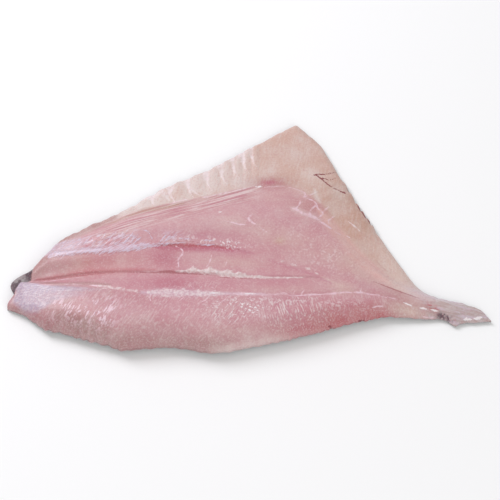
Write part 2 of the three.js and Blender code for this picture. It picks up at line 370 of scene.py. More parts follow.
def underside_points(upper):
    """Rows of the underside at each column, without the two that it shares with the upper side's edges."""
    back, belly = upper[:, 0, 1], upper[:, -1, 1]
    inset = np.minimum(UNDERSIDE_INSET, (belly - back) / 3)
    shares = np.linspace(0, 1, UNDERSIDE_ROWS)
    y = lerp((back + inset)[:, None], (belly - inset)[:, None], shares)
    x = np.repeat(upper[:, :1, 0], UNDERSIDE_ROWS, axis=1)
    return np.stack([x, y, np.zeros_like(x)], axis=2)


def fillet_points():
    """The points of the upper side and of the underside, and the surface laid on the upper side."""
    upper = upper_points()
    upper = np.concatenate([upper[:1], upper])  # the foot of the head cut comes before the first column
    upper[0, :, 0] = HEAD_END
    dressed = dress(upper[:, :, 0].ravel(), upper[:, :, 1].ravel())
    inside = 1 - (2 * upper[:, :, 3] - 1) ** RELIEF_EDGE_POWER
    upper[:, :, 2] += dressed.relief.reshape(inside.shape) * inside
    upper[0, :, 2] = 0
    return upper[:, :, :3], underside_points(upper[UNDERSIDE_START:]), dressed


def centred(points):
    """Points moved so that the middle of their box is at the origin and they lie at height 0."""
    low, high = points.min(axis=0), points.max(axis=0)
    return points - [(low[0] + high[0]) / 2, (low[1] + high[1]) / 2, low[2]]


def number_points(upper, under):
    """Point numbers of the two sides, in columns; the underside's columns end on the upper side's edges."""
    top = np.arange(upper[:, :, 0].size).reshape(upper.shape[:2])
    own = top.size + np.arange(under[:, :, 0].size).reshape(under.shape[:2])
    beyond_dent = top[UNDERSIDE_START:]
    return top, np.concatenate([beyond_dent[:, :1], own, beyond_dent[:, -1:]], axis=1)


def strip_faces(lower, upper):
    """Quads between two neighbouring columns of point numbers."""
    return list(zip(lower, upper, upper[1:], lower[1:]))


def fan_faces(tip, column):
    return [(tip, a, b) for a, b in zip(column, column[1:])]


def zip_faces(dense, sparse):
    """Triangles between a long and a short chain of point numbers that share both their ends."""
    mates = np.round(np.linspace(0, len(sparse) - 1, len(dense))).astype(int)
    faces = []
    for i in range(len(dense) - 1):
        here, there = sparse[mates[i]], sparse[mates[i + 1]]
        faces += [(dense[i], dense[i + 1], here), (dense[i + 1], there, here)]
    return [face for face in faces if len(set(face)) == 3]


def build_mesh():
    upper, under, dressed = fillet_points()
    tail = (TAIL_END, float(smooth_back(TAIL_END)), RIM_HEIGHT)
    points = np.concatenate([upper.reshape(-1, 3), under.reshape(-1, 3), [tail]])
    points[:, 0] = notched(points[:, 0], points[:, 1])
    tail_tip = len(points) - 1

    top, bottom = number_points(upper, under)
    head_rim = [*top[UNDERSIDE_START:0:-1, 0], *top[0], *top[1:UNDERSIDE_START + 1, -1]]
    top_faces = fan_faces(tail_tip, top[-1][::-1])
    for a, b in zip(top, top[1:]):
        top_faces += strip_faces(a, b)
    bottom_faces = zip_faces(head_rim, bottom[0]) + fan_faces(tail_tip, bottom[-1])
    for a, b in zip(bottom, bottom[1:]):
        bottom_faces += strip_faces(b, a)

    mesh = bpy.data.meshes.new("fillet_flesh")
    faces = [tuple(int(i) for i in face) for face in top_faces + bottom_faces]
    mesh.from_pydata((centred(points) * MM).tolist(), [], faces)
    mesh.shade_smooth()
    mesh.polygons.foreach_set("material_index", [0] * len(top_faces) + [1] * len(bottom_faces))
    mesh.update()
    return mesh, dressed


# ---------------------------------------------------------------- relief and paint


def srgb(hex_code):
    """The linear colour of a six-digit sRGB code."""
    values = np.array([int(hex_code[i:i + 2], 16) for i in (0, 2, 4)]) / 255
    return np.where(values <= 0.04045, values / 12.92, ((values + 0.055) / 1.055) ** 2.4)


PINK = srgb("c59298")
ROSE = srgb("b97484")
DEEP_ROSE = srgb("b05e70")
RED = srgb("b04048")
UMBER = srgb("9c7470")
VEIN = srgb("7c2430")
SALMON = srgb("ba8481")
MAUVE = srgb("b08483")
BEIGE = srgb("cdb0a6")
PALE = srgb("d4bab0")
TAN = srgb("c49c8d")
BROWN = srgb("b08a76")
CLEAR_WHITE = srgb("d6c8c4")
WHITE = srgb("e4d6d6")
LILAC = srgb("d2c0d0")
TAIL_GREY = srgb("b8aaa8")
SKIN_DARK = srgb("4c343e")
SKIN_SILVER = srgb("a69e9e")
SKIN_BACK = srgb("6a6468")
YELLOW = srgb("c6a88e")
CLEAR_GREY = srgb("e0d2cc")
# partly painted highlight: the lilac of the sheen at the head of the loin
MILKY_SHEEN = srgb("ae9eb4")
PEARL = srgb("e2c4ce")
# painted light: the pale pink that lightens the valley of the fold
FOLD_PAINTED_LIGHT = srgb("e4bab2")
# painted shade: the reddish brown of the dark lines in slits and creases
SLIT_SHADE = srgb("9a4c50")
# the white of painted glints and sparkles
BRIGHT = srgb("f6f0f2")


PATH_STEPS = 6  # between two given points of a path


def smooth_path(points):
    """Points along a smooth curve through the given ones."""
    knots = np.array(points, float)
    knots = np.vstack([2 * knots[0] - knots[1], knots, 2 * knots[-1] - knots[-2]])
    t = np.linspace(0, 1, PATH_STEPS, endpoint=False)[:, None]
    pieces = []
    for a, b, c, d in zip(knots, knots[1:], knots[2:], knots[3:]):
        pieces.append(b + t * ((c - a) + t * (2 * a - 5 * b + 4 * c - d + t * (3 * b - a - 3 * c + d))) / 2)
    return np.vstack([*pieces, knots[-2]])


FLESH_ROUGHNESS = 0.48
REST_ROUGHNESS = 0.4
# slit_shades are painted shade in slits and creases
STROKE_KINDS = ("strands", "tissue", "ridge", "glints", "veins", "slit_shades")
FAR = 9.0  # the share at a place that no stroke reaches
MIN_STROKE = 0.1  # the least width of a stroke, in mm
MASKS = ("leaning", "steep", "crumbs_and_sparkles", "torn", "milky_sheen", "scaly_highlights", "tendons", "rays", "streaky")


class Surface:
    """The points of the upper side in plan, with all that is laid on them.

    relief is in millimetres, and colour is linear. Each kind of stroke is kept as the distance from the
    nearest stroke of that kind, as a share of its half width, so that a material can draw its sides finer
    than the points are. The masks say how much of a pattern of the material shows.
    """

    def __init__(self, x, y):
        self.x, self.y = x, y
        self.relief = np.zeros_like(x)
        self.colour = np.tile(PINK, (len(x), 1))
        self.rough = np.full_like(x, FLESH_ROUGHNESS)
        self.strokes = {kind: np.full_like(x, FAR) for kind in STROKE_KINDS}
        self.masks = {name: np.zeros_like(x) for name in MASKS}

    def tint(self, colour, amount):
        self.colour = lerp(self.colour, colour, np.clip(amount, 0, 1)[:, None])

    def gloss(self, roughness, amount):
        self.rough = lerp(self.rough, roughness, np.clip(amount, 0, 1))

    def share_of(self, path):
        """Distances to a smooth line through points of (x, y, width), as shares of its half width."""
        curve = smooth_path(path)
        widths = np.maximum(curve[:, 2], MIN_STROKE)
        reach = 2 * widths.max() + 1
        low, high = curve[:, :2].min(axis=0) - reach, curve[:, :2].max(axis=0) + reach
        inside_x = (self.x > low[0]) & (self.x < high[0])
        near = np.flatnonzero(inside_x & (self.y > low[1]) & (self.y < high[1]))
        x, y = self.x[near], self.y[near]
        start, run = curve[:-1, :2], np.diff(curve[:, :2], axis=0)
        away_x, away_y = x[:, None] - start[:, 0], y[:, None] - start[:, 1]
        t = np.clip((away_x * run[:, 0] + away_y * run[:, 1]) / (run ** 2).sum(axis=1), 0, 1)
        gaps = np.hypot(away_x - t * run[:, 0], away_y - t * run[:, 1])
        shares = np.full_like(self.x, FAR)
        shares[near] = (2 * gaps / lerp(widths[:-1], widths[1:], t)).min(axis=1)
        return shares

    def stroke(self, kind, path, relief=0.0):
        """Lays a stroke of a kind, and gives how much of it is at each point."""
        share = self.share_of(path)
        self.strokes[kind] = np.minimum(self.strokes[kind], share)
        amount = falling(share, 0.2, 1.3)
        self.relief += relief * amount
        return amount

    def glaze(self, colour, strength, path):
        """Tints a soft band along a line."""
        self.tint(colour, strength * falling(self.share_of(path), 0, 1.4))

    def strokes_of(self, kind, paths, relief=0.0):
        for path in paths:
            self.stroke(kind, path, relief)

    def spot(self, cx, cy, rx, ry, lean=0.0):
        """1 at the middle of an oval patch, fading to 0 around its radii; lean turns it, in degrees."""
        turn = math.radians(lean)
        dx, dy = self.x - cx, self.y - cy
        u = (dx * math.cos(turn) + dy * math.sin(turn)) / rx
        v = (dy * math.cos(turn) - dx * math.sin(turn)) / ry
        return np.exp(-(u * u + v * v))

    def grain(self, length, width, lean, seed):
        """Noise between -1 and 1 that is drawn out along a direction, in degrees."""
        turn = math.radians(lean)
        u = self.x * math.cos(turn) + self.y * math.sin(turn)
        v = self.y * math.cos(turn) - self.x * math.sin(turn)
        return noise(u / length, v / width, 1, seed)

    def above(self, name):
        """How far a point lies on the belly side of a line of the loft."""
        return self.y - line_curves[name](self.x)

    def sum_of(self, rows):
        """Oval patches added up: strength, x, y, the two radii and a lean in degrees."""
        return sum(strength * self.spot(*oval) for strength, *oval in rows)

    def patches(self, rows, within=1.0):
        """Tints oval patches: colour, strength, x, y, the two radii and a lean in degrees."""
        for colour, strength, *oval in rows:
            self.tint(colour, within * strength * self.spot(*oval))

    def mottle(self, high, low, rows, within=1.0):
        """Tints the highs and the lows of noise: size, strength of each tint and seed."""
        for size, high_strength, low_strength, seed in rows:
            bumps = within * noise(self.x, self.y, size, seed)
            self.tint(high, high_strength * np.maximum(bumps, 0))
            self.tint(low, low_strength * np.maximum(-bumps, 0))


MUSCLE_PATCHES = [  # colour, strength, x, y, the two radii and a lean in degrees
    (RED, 1.0, 64, -50.5, 12, 4.6),
    (RED, 0.9, 42, -55, 18, 5.6, 14),
    (RED, 0.4, 18, -59.5, 14, 4, 6),
    (RED, 0.2, 38, -49, 14, 5),
    (SALMON, 0.6, -80, -50.5, 16, 4, -14),
    (UMBER, 0.4, -96, -43, 14, 4, -6),
    (SALMON, 0.9, -80, -23, 32, 6, 2),
    (UMBER, 0.75, -98, -24, 11, 5.5, 8),
    (UMBER, 1.0, -105, -20.5, 5, 10, -38),
    (BEIGE, 0.25, 12, 17, 12, 5, 10),
    (PALE, 0.35, 22, 21, 10, 4),
    (PALE, 0.4, 54, -29, 8, 4, -25),
    (RED, 0.12, -88, -22, 20, 5),
    (ROSE, 0.2, -28, -22, 14, 4),
    (ROSE, 0.35, -30, -35, 50, 4),
    (ROSE, 0.8, -95, -33, 14, 1.8, -5),
    (ROSE, 0.3, -60, -47, 30, 8),
    (ROSE, 0.25, 10, -44, 20, 3),
    (PINK, 0.6, -30, -61.5, 34, 3.4, -2),
    (UMBER, 0.3, -35, -67, 30, 2.5, 2),
    (DEEP_ROSE, 1.0, -41, -20, 6.5, 5.5),
    (DEEP_ROSE, 0.7, -38, -34.5, 8, 4.5),
    (ROSE, 0.4, -12, -17.5, 22, 3, -14),
    (ROSE, 0.8, -24, -7.8, 17, 2.6, -2),
    (PALE, 0.3, -10, 0, 7, 4),
    (BEIGE, 0.2, 25, -18, 20, 9, -20),
    (ROSE, 0.4, -64, -52, 15, 7),
    (BEIGE, 0.15, -27, 0.5, 14, 3, 4),
    (ROSE, 0.25, -28, -2, 22, 6, 4),
    (PALE, 0.3, 35, -14, 14, 8, -20),
    (PALE, 0.35, 18, -38, 14, 3),
    (PALE, 0.35, -6, -62, 14, 3, 4),
    # painted shade: the next two umber patches darken the near side at the head end
    (UMBER, 0.7, -104, -52, 9, 3.4, -30),
    (UMBER, 0.6, -114, -45.8, 5, 2.4, -25),
    (ROSE, 0.2, 28, 3, 16, 10, -20),
    (BEIGE, 0.4, -6, -23, 18, 4, -4),
    (BEIGE, 0.3, 10, -6, 16, 6, -20),
    (BEIGE, 0.8, 54, -24, 18, 7, -32),
    (BEIGE, 0.3, 26, 8, 12, 7, -30),
    (YELLOW, 0.6, 15.5, -11, 2.6, 2),
    (ROSE, 0.3, 62, -36.5, 12, 2.2, -22),
    (PALE, 0.7, 47, -37, 7, 4, -15),
    # painted shade: an umber patch darkens the near side of the loin
    (UMBER, 0.8, -84, -56, 20, 4.5, -26),
]


def paint_muscle(s):
    """The broad colours of the flesh. The mauve along the near side is painted shade, and the mauve over
    the head half of the loin below the seam is partly painted shade.
    """
    from_edge = s.y - back_edge(s.x)
    near_side_shade = falling(from_edge, 0, 14)
    below_seam = falling(s.above("backbone_seam"), -3, 1)
    ragged = from_edge + 2 * noise(s.x, s.y, 4, 20)
    # painted shade: mauve darkens the near side, and partly the head half of the loin below the seam
    s.tint(MAUVE, 0.9 * near_side_shade * between(s.x, -106, -14, 14))
    s.tint(MAUVE, 0.6 * below_seam * falling(s.x, -70, -30))
    s.tint(CLEAR_GREY, 0.85 * falling(ragged, 0.5, 4.8) * between(s.x, -8, 10, 15))
    s.tint(CLEAR_GREY, 0.5 * falling(from_edge, 0.4, 2.2) * between(s.x, 12, 36, 6))
    s.patches(MUSCLE_PATCHES)
    s.mottle(ROSE, CLEAR_WHITE, [(18, 0.312, 0.192, 3), (7, 0.208, 0.128, 4), (2.5, 0.13, 0.08, 5)])


def paint_flap(s):
    """The thin flap is beige, clearer and whiter towards the head, and tan beyond the upper muscle."""
    above_fold = s.above("belly_fold")
    on_flap = smoothstep(above_fold, -2, 5)
    reach = above_fold + 4 * noise(s.x, s.y, 7, 21) + 2 * noise(s.x, s.y, 2.5, 24)
    near_web = smoothstep(reach, -15, 9) * (1 - 0.7 * smoothstep(above_fold, 8, 26))
    s.tint(BEIGE, on_flap)
    s.tint(CLEAR_WHITE, on_flap * falling(s.x, -8, 9) * 0.7)
    s.patches([(CLEAR_WHITE, 0.65, -55, 17, 14, 5, 28), (TAN, 0.3, -40, 19, 7, 4, 28)], on_flap)
    s.tint(TAN, 0.8 * near_web * smoothstep(s.x, 26, 40) * falling(s.x, 50, 72))
    s.patches([(TAN, 0.8, 57, 5, 8, 14, 28)], on_flap)
    s.tint(PALE, 0.9 * smoothstep(above_fold, -7, 6) * smoothstep(s.x, 54, 76))
    s.patches([(TAN, 0.5, 21, 34, 12, 8, -10)], on_flap)
    s.patches([
        (TAN, 0.9, 15, 48, 11, 11),
        (TAN, 0.8, 48, 21, 4.5, 11, 28),
        (TAN, 0.6, 58, -5, 5, 9, 28),
        (BROWN, 0.9, 48.5, 22, 6, 10, 28),
        (BROWN, 0.6, 60, 3, 4.5, 9, 28),
        (CLEAR_GREY, 0.6, 32, 33, 10, 5, -30),
    ])
    from_belly_edge = belly_edge(s.x) - s.y
    near_head = between(s.x, -108, -72, 8)
    s.tint(MAUVE, near_head * falling(from_belly_edge, 4, 11))
    s.tint(UMBER, 0.4 * near_head * falling(from_belly_edge, 2, 7))
    mottled = on_flap * lerp(0.5, 1, smoothstep(s.x, -20, 10))
    s.mottle(TAN, CLEAR_WHITE, [(12, 0.45, 0.45, 22), (4, 0.22, 0.22, 23)], mottled)


def paint_fold(s):
    """A painted shadow on the flap beside the fold, the streaks along the fold, and a pale strip of painted
    light along the valley where the flap leaves the upper muscle, which offsets the valley's shade.
    """
    s.masks["streaky"] = 0.8 * smoothstep(s.above("belly_fold"), 0, 6)
    s.glaze(BROWN, 0.8, [(-72, 1.5, 1), (-56, 9.6, 4), (-43.3, 12.3, 4), (-33, 14.6, 1)])
    # painted shadow: a dark rose blotch on the flap just beyond the fold
    s.tint(UMBER, 0.45 * s.spot(11, 27.4, 11, 4.2, 2))
    s.tint(DEEP_ROSE, s.spot(11, 27, 9, 3.4, 2) * (0.55 + 0.35 * noise(s.x, s.y, 2.5, 26)))
    # painted light: a pale pink strip along the valley of the fold, lighter to offset its shade
    s.glaze(FOLD_PAINTED_LIGHT, 0.62, [
        (36, 10, 3), (42, 0.5, 9), (50, -11, 9), (56, -18.5, 9), (62, -25.5, 9), (70, -32, 5),
    ])
    s.glaze(CLEAR_WHITE, 0.7, [(34.4, 24, 2), (35.6, 18.2, 3.5), (37, 15, 1.5)])
    s.tint(PALE, 0.6 * s.spot(43, 21, 11, 9) * np.maximum(s.grain(9, 1.3, 33, 25), 0))
    s.glaze(SALMON, 0.5, [(64, -18, 0.4), (69, -24.1, 1.2), (77, -27, 0.5)])
    for x in SEGMENT_ENDS[6:9]:
        s.tint(TAN, 0.3 * s.spot(x + 5, line_curves["belly_fold"](x + 5) + 4.5, 3.2, 2.6))


def paint_tail(s):
    """Pale above a dark line, mauve and beige below it, and grey and striped at the bit of fin."""
    line = through([(60, -32.2), (67.6, -34.6), (78.8, -38.5), (88.4, -41.7), (100, -45.5)])(s.x)
    far = smoothstep(s.x, 64, 76)
    above = smoothstep(s.y - line, -0.2, 0.8)
    s.tint(PALE, 0.9 * far * above)
    s.tint(MAUVE, 0.55 * far * (1 - above))
    s.tint(SALMON, 0.2 * far * between(s.y - line, -1.6, -0.2, 0.5))
    s.patches([(BEIGE, 0.9, 79, -46.8, 10, 3.4, -8), (PALE, 0.5, 84, -41, 9, 2.5, -16)])
    s.tint(TAIL_GREY, 0.85 * smoothstep(s.x + 3 * noise(s.x, s.y, 3, 63), 78, 98))
    s.patches([(LILAC, 0.4, 86, -38, 11, 4, -22), (CLEAR_GREY, 0.35, 95, -43, 5, 3, -14)])
    s.masks["rays"] = smoothstep(s.x, 80, 98) * (1 - s.spot(97, -49.4, 5, 1.6, -24))
    speckle = 0.5 + noise(s.x, s.y, 0.8, 62)
    s.tint(RED, 0.8 * s.spot(91, -45, 4.5, 1.8, -30) * np.clip(speckle, 0, 1))
    s.tint(SKIN_DARK, 2.4 * s.spot(97, -49.6, 3.8, 1.4, -24) * np.clip(1.2 - 1.4 * speckle, 0.1, 1))


def lay_myosepta(s):
    """White sheets between the segments of the belly flap, which turn towards the tail near the fold."""
    for i, x in enumerate(SEGMENT_ENDS[4:-1]):
        edge = float(belly_edge(x))
        length = min(0.82 * (edge - float(line_curves["belly_fold"](x))), 16)
        wide = 4.4 + 1.4 * math.sin(2.3 * i)
        s.stroke("strands", [
            (x - 0.6, edge + 1, wide), (x - 0.2, edge - 0.3 * length, 0.7 * wide),
            (x + 1.2, edge - 0.7 * length, 1.1), (x + 3.6, edge - length, 0.5),
        ], 0.15)
    s.glaze(WHITE, 0.5, [(-35, 34, 5), (-33, 29, 3.5), (-28, 22.5, 1)])
    s.glaze(WHITE, 0.7, [(-47, 27, 3), (-44, 22, 4), (-41, 17, 1)])
    s.glaze(WHITE, 0.8, [(-58, 19.5, 2), (-52, 20.5, 5), (-46, 23, 3)])
    s.strokes_of("strands", [
        [(-31.5, 27, 0.6), (-27, 21, 1.0), (-21, 18, 0.5)],
        [(-42, 14.4, 0.5), (-36, 16, 1.3), (-31, 17.6, 0.5)],
        [(-24, 18, 0.5), (-14, 20.2, 0.9), (-5, 22.5, 0.9), (1, 24, 0.4)],
    ], 0.1)


def lay_seam(s):
    """White tissue along the seam that the backbone left, thick in the middle and thin towards the tail."""
    thick = s.stroke("tissue", [
        (-49.6, -40.9, 1.0), (-47, -40.6, 3.4), (-43, -41, 4.2), (-39.5, -40.7, 5.4), (-33, -41.1, 3.6),
        (-28, -41.2, 4.4), (-22, -41.5, 3.0), (-17, -41.4, 3.2), (-12, -41.4, 1.4),
    ])
    s.relief += 0.4 * thick * (0.5 + 0.5 * noise(s.x, s.y, 1.2, 32))
    s.glaze(UMBER, 0.6, [
        (-108, -31.8, 1.2), (-100, -33.2, 2.4), (-92, -34.6, 2.8), (-80, -34.8, 2.8), (-68, -36, 1.5),
    ])
    s.glaze(LILAC, 0.4, [(-52, -40.8, 3), (-38, -41, 6), (-20, -41.4, 4), (-6, -41.4, 2), (8, -41.6, 2)])
    s.strokes_of("strands", [
        [(-91, -34.9, 0.4), (-86, -35.2, 0.9), (-82, -35.6, 0.3)],
        [(-79, -36, 0.3), (-75, -36.4, 1.0), (-72, -37.2, 0.6)],
        [(-12, -41.4, 1.3), (-8.5, -41.7, 0.5)],
        [(-8, -41.2, 0.6), (-3, -41.5, 2.2), (3, -41.4, 1.4), (8, -42.1, 1.9), (13, -41.6, 0.9)],
        [
            (13, -41.6, 0.9), (17, -40.9, 1.4), (20.5, -42, 1.1), (25.2, -42, 1.0), (31, -41.2, 1.4),
            (36, -41, 0.6),
        ],
        [(36.5, -40.8, 0.7), (41, -40.4, 1.4), (47.7, -39.3, 1.1), (51, -39.4, 0.6)],
        [(52, -39.1, 0.7), (55, -39, 1.6), (59, -39.6, 1.1), (62.6, -40.1, 0.8), (68, -41, 0.6)],
        [(60.5, -47.1, 0.3), (63, -46.2, 0.8), (66, -45.8, 0.5)],
        [(-37.5, -35.8, 0.3), (-34, -37.4, 0.6), (-31, -39.6, 0.4)],
        [(-30.5, -35.6, 0.3), (-28, -37.2, 0.6), (-26, -39.8, 0.4)],
        [(-20.5, -36.6, 0.3), (-17.5, -38, 0.6), (-15.5, -40.2, 0.4)],
        [(-12, -37.6, 0.3), (-10, -39.4, 0.5), (-9, -41, 0.4)],
        [(-47.8, -42.4, 1.4), (-48, -44.4, 0.7), (-47.6, -46, 1.0)],
        [(-31, -43, 0.4), (-33.4, -45.8, 0.6), (-35, -47, 0.3)],
        [(-19, -42.6, 0.4), (-21, -45.4, 0.6), (-25, -48, 0.4)],
        [(-21, -45.4, 0.6), (-19.6, -47.6, 0.4)],
        [(-9.6, -42.4, 0.4), (-12, -45.6, 0.6), (-15.6, -48.4, 0.3)],
        [(22, -41.4, 0.8), (23, -38.8, 0.4)],
        [(26, -41, 0.8), (27.8, -38.4, 0.4)],
        [(55, -39, 0.9), (56, -36.8, 0.4)],
    ], 0.12)
    s.stroke("tissue", [
        (-74, -36.6, 1.0), (-71, -37, 2.2), (-66, -38, 1.5), (-62, -38.7, 2.0), (-57, -39.7, 1.0),
        (-54, -40.3, 1.8),
    ], 0.2)
    s.strokes_of("glints", [
        [(-19, -41.2, 0.4), (-16, -41.1, 1.0), (-13, -41.3, 0.4)],
        [(-3.6, -41.5, 0.4), (1, -41.3, 0.9), (5.5, -41.5, 0.3)],
    ])


def lay_cleft(s):
    """The slit where the pin bones were, with painted shade in it and in a red band above it, and the torn
    white tissue that starts half way along it.
    """
    # painted shade: a red band above the slit
    s.glaze(RED, 0.35, [
        (-106, -30, 1), (-99, -30, 3), (-86.5, -28, 5), (-74, -27.2, 4.5), (-59, -26.8, 3), (-46, -27, 1),
    ])
    # painted shade: the dark line of the slit
    s.strokes_of("slit_shades", [
        [(-101, -30.6, 0.3), (-92, -29.9, 0.7), (-83, -28.9, 1.0), (-74, -28.3, 0.8), (-66, -28, 0.4)],
        [(-63, -27.9, 0.4), (-54, -28.2, 0.8), (-46, -28.6, 0.7)],
        [(-46, -28.6, 0.7), (-41, -28.2, 2.0), (-38, -28.3, 2.4), (-35, -28.7, 0.9)],
        [
            (-35, -28.9, 0.8), (-26, -29.6, 1.0), (-19, -30.2, 0.7), (-12, -31.6, 0.9), (2, -32.4, 0.6),
            (14, -32.2, 0.3),
        ],
    ])
    s.stroke("strands", [(-110, -33, 0.6), (-99, -31.8, 0.9), (-88, -30.6, 0.5), (-80, -29.8, 0.2)], 0.1)
    lip = s.stroke("tissue", [
        (-36, -28.1, 0.7), (-31, -28, 1.1), (-27.5, -27.4, 3.0), (-23.5, -28.2, 1.5), (-19.3, -27.9, 3.8),
        (-14.5, -29, 2.6), (-10, -29.5, 4.0), (-6.8, -30.4, 2.2), (-4.4, -30.4, 3.6), (0, -31.1, 1.5),
        (6, -31.4, 1.7), (12, -31.7, 0.9), (19, -31.6, 1.0), (27, -31.3, 0.5),
    ])
    s.relief += 0.6 * lip * (0.6 + 0.4 * noise(s.x, s.y, 1.2, 37))
    s.tint(CLEAR_WHITE, 0.6 * lip)
    s.strokes_of("tissue", [
        [(-28, -27.4, 2.0), (-27.4, -24.9, 0.5)],
        [(-20, -28, 2.2), (-19.2, -25.4, 0.5)],
        [(-11, -29, 2.0), (-10.4, -27.2, 0.5)],
        [(-5, -29.8, 1.8), (-4.4, -28, 0.5)],
    ], 0.2)


def lay_rib_ridge(s):
    """The glossy ridge where the ribs were cut away, whose lilac is partly pale tissue and partly painted
    sheen, and the torn strands above it.
    """
    # partly painted highlight: the lilac of the ridge stands for its sheen as well as pale tissue
    ridge = s.stroke("ridge", [
        (-101, -18, 1.2), (-98, -17.2, 3.4), (-90, -16.4, 3.2), (-76, -15.7, 3.6), (-63, -15, 4.2),
        (-52.5, -13.6, 2.6), (-43, -12.6, 1.2), (-36, -12.2, 0.7), (-31, -12, 0.3),
    ])
    s.relief += ridge * lerp(0.1, 0.5, smoothstep(s.x, -102, -84))
    s.gloss(0.38, ridge * smoothstep(s.x, -92, -80))
    s.gloss(0.75, s.spot(-103, -18, 6, 12, -38))
    above = s.above("rib_cleft")
    torn = between(s.x, -99, -62, 9) * between(above, 4.0, 10, 2.5)
    s.tint(LILAC, 0.4 * torn * falling(s.x, -92, -76))
    s.masks["torn"] = np.maximum(torn, np.maximum(s.spot(-62, -9, 8, 4), 0.9 * s.spot(-39, -8.5, 6, 3)))
    s.relief += 0.15 * s.masks["torn"] * s.grain(5, 0.9, 33, 41)
    s.strokes_of("ridge", [
        [(-63, -12.5, 0.4), (-60.5, -9.4, 0.8), (-58, -6, 0.4)],
        [(-60.5, -12.8, 0.4), (-58, -10, 0.9), (-55.6, -7.2, 0.4)],
        [(-58.4, -13, 0.4), (-56, -10.6, 0.8), (-54, -8.6, 0.4)],
        [(-60.4, -6.8, 0.4), (-57, -9, 0.8), (-53.4, -12, 0.4)],
        [(-55.5, -4.4, 0.3), (-51, -5.6, 0.7), (-48.4, -9.8, 0.5)],
        [(-45, -12, 0.4), (-43, -9.4, 0.9), (-41.4, -7.6, 0.4)],
        [(-43, -12.2, 0.4), (-40.4, -9, 0.8), (-39.4, -8, 0.4)],
    ], 0.1)
    s.tint(DEEP_ROSE, 0.6 * s.spot(-81.5, -12.5, 2.4, 1.5))


def lay_rib_overhang(s):
    """The fold that hangs over the flank from where the ridge ends, with frayed tissue along it, and
    painted shade under it: dark rose and red bands and dark slits.
    """
    # painted shade: dark rose and red bands under the overhanging fold
    s.glaze(DEEP_ROSE, 0.9, [
        (-48, -13.8, 1), (-42, -14.6, 4), (-30, -14.8, 5), (-18, -14.8, 4), (-8, -16.2, 2),
    ])
    s.glaze(ROSE, 0.6, [(-18, -14.6, 3), (-6, -16, 4), (3, -18, 1)])
    s.glaze(RED, 0.6, [(-47, -12.8, 1), (-38, -13, 2), (-28, -13.3, 2.2), (-18, -13.6, 2), (-8, -15.4, 1)])
    # painted shade: dark slits along the fold
    s.strokes_of("slit_shades", [
        [(-43, -13.5, 0.4), (-37, -13.9, 0.8), (-31, -14.1, 1.1), (-25, -14.1, 0.6)],
        [(-23, -13.8, 0.4), (-17.7, -13.9, 0.8), (-12, -14.3, 0.4)],
        [(-8, -15.2, 0.3), (-3, -16, 0.5), (1, -16.8, 0.3)],
        [(-36.5, -10.8, 0.9), (-33.5, -11.6, 0.7)],
        [(-31.5, -10.6, 0.9), (-29, -11.5, 0.8), (-27.4, -11.2, 0.5)],
        [(-26, -11.8, 0.5), (-23.4, -12.2, 0.7)],
        [(-45, -11.6, 1.1), (-44.2, -11.6, 1.1)],
    ])
    s.strokes_of("ridge", [
        [(-27, -12.6, 0.3), (-22, -13, 0.9), (-16.5, -12.8, 0.3)],
        [(-35, -9.8, 0.3), (-31.5, -9.6, 0.8), (-28.5, -10.2, 0.3)],
        [(-23.6, -10.6, 0.3), (-20.5, -10.4, 0.8), (-17, -11, 0.3)],
    ], 0.2)


def lay_rib_flank(s):
    """The thread and the arcs of tissue that cross the flank between the rib ridge and the cleft."""
    s.strokes_of("strands", [
        [
            (-36.5, -13.6, 0.8), (-33.9, -15.1, 0.9), (-32.9, -17.7, 1.0), (-35, -21.6, 1.0),
            (-34.6, -26.2, 0.8),
        ],
        [(-18.4, -18.6, 0.4), (-18.9, -21, 0.7), (-19.8, -24, 0.7), (-21.5, -26.5, 0.3)],
        [(-10.4, -19.6, 0.3), (-10.6, -22.5, 0.6), (-12, -25.5, 0.3)],
    ], 0.08)
    s.glaze(ROSE, 0.4, [(10, -21.5, 1), (21, -26, 2.5), (31, -29.4, 2.5), (41, -34.6, 1)])
    s.strokes_of("tissue", [
        [(15.6, -22.2, 0.4), (16.9, -22.6, 1.4), (18, -23, 0.4)],
        [(20.8, -23.6, 0.5), (22.3, -24.2, 1.7), (24.4, -25, 0.4)],
        [(28, -25.8, 0.4), (29.4, -26.4, 1.4), (31.2, -27.1, 0.4)],
        [(33.2, -28.7, 0.4), (33.9, -29, 0.9), (34.8, -29.5, 0.4)],
    ], 0.15)
    s.glaze(PALE, 0.4, [(36, -30.5, 0.6), (42, -33.8, 1.2), (48, -36.8, 0.6)])


def lay_tendons(s):
    """Where fine parallel tendons run along the fold."""
    above_fold = s.above("belly_fold")
    lower = lerp(-12, -8, smoothstep(s.x, -50, -6))
    reach = smoothstep(above_fold - lower, -3, 3) * falling(above_fold, 1, 4)
    s.masks["tendons"] = reach * between(s.x, -74, -2, 12)
    s.tint(SALMON, 0.25 * s.masks["tendons"])


